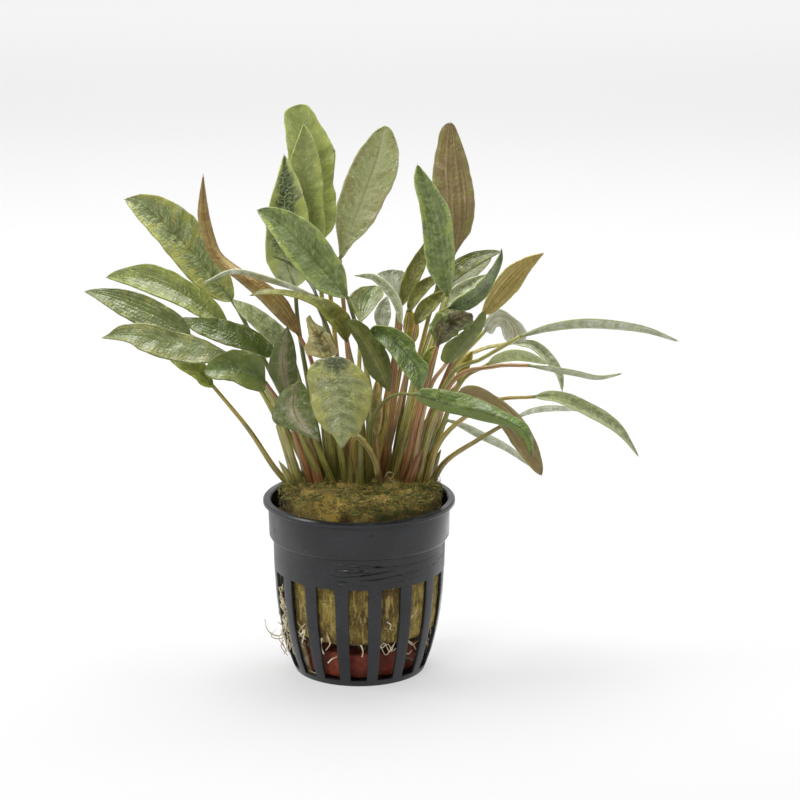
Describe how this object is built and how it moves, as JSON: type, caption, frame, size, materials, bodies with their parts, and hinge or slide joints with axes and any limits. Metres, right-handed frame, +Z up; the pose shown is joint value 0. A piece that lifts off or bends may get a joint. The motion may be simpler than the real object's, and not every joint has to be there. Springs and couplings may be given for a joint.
{
  "type": "potted aquarium plant",
  "caption": "Clump of long-stalked lance-shaped leaves rising from a rockwool plug in a small slotted black net pot.",
  "frame": {"origin": "centre of the underside of the pot's base, on the surface that the pot stands on", "axes": "+Z up along the pot's axis, -Y towards the front that the picture shows, +X to the right of it"},
  "size_m": [0.1685, 0.0763, 0.1587],
  "materials": {
    "black_plastic": "semi-gloss moulded plastic",
    "fired_clay": "unglazed, damp",
    "rockwool_fibre": "wet mineral fibre with algae",
    "rhizome": "rough",
    "root_white": "damp",
    "leaf_green": "wet leaf, satin",
    "leaf_dark_green": "wet leaf, satin",
    "leaf_grey_green": "wet leaf with a grey sheen",
    "leaf_olive": "wet leaf, satin",
    "leaf_bronze": "leaf underside with parallel veins",
    "leaf_pale": "young leaf, rolled",
    "leaf_salmon": "smooth stalk"
  },
  "bodies": {
    "root": {"pot": "black_plastic", "clay_disc": "fired_clay", "rockwool": "rockwool_fibre", "crown": "rhizome", "root_01": "root_white", "leaf_01": "leaf_grey_green", "leaf_02": "leaf_grey_green", "leaf_03": "leaf_grey_green", "leaf_04": "leaf_grey_green", "leaf_05": "leaf_green", "leaf_06": "leaf_grey_green", "leaf_07": "leaf_olive", "leaf_08": "leaf_green", "leaf_09": "leaf_green", "leaf_10": "leaf_green", "leaf_11": "leaf_pale", "leaf_12": "leaf_bronze", "leaf_13": "leaf_dark_green", "leaf_14": "leaf_olive", "leaf_15": "leaf_olive", "leaf_16": "leaf_grey_green", "leaf_17": "leaf_green", "leaf_18": "leaf_dark_green", "leaf_19": "leaf_grey_green", "leaf_20": "leaf_dark_green", "leaf_21": "leaf_green", "leaf_22": "leaf_green", "leaf_23": "leaf_bronze", "leaf_24": "leaf_olive", "leaf_25": "leaf_olive", "leaf_26": "leaf_olive", "leaf_27": "leaf_olive", "leaf_28": "leaf_grey_green", "leaf_29": "leaf_olive", "leaf_30": "leaf_green", "leaf_31": "leaf_bronze", "leaf_32": "leaf_bronze", "leaf_33": "leaf_green", "leaf_34": "leaf_grey_green", "leaf_35": "leaf_grey_green", "leaf_36": "leaf_salmon", "leaf_37": "leaf_green", "leaf_38": "leaf_olive", "leaf_39": "leaf_olive", "leaf_40": "leaf_grey_green", "leaf_41": "leaf_bronze", "leaf_42": "leaf_grey_green", "leaf_43": "leaf_dark_green", "leaf_44": "leaf_green", "leaf_45": "leaf_grey_green", "leaf_46": "leaf_grey_green", "leaf_47": "leaf_dark_green", "leaf_48": "leaf_olive", "leaf_49": "leaf_olive", "leaf_50": "leaf_olive", "leaf_51": "leaf_grey_green", "leaf_52": "leaf_dark_green", "sheath_01": "leaf_salmon", "stalk_01": "leaf_salmon"}
  },
  "joints": []
}
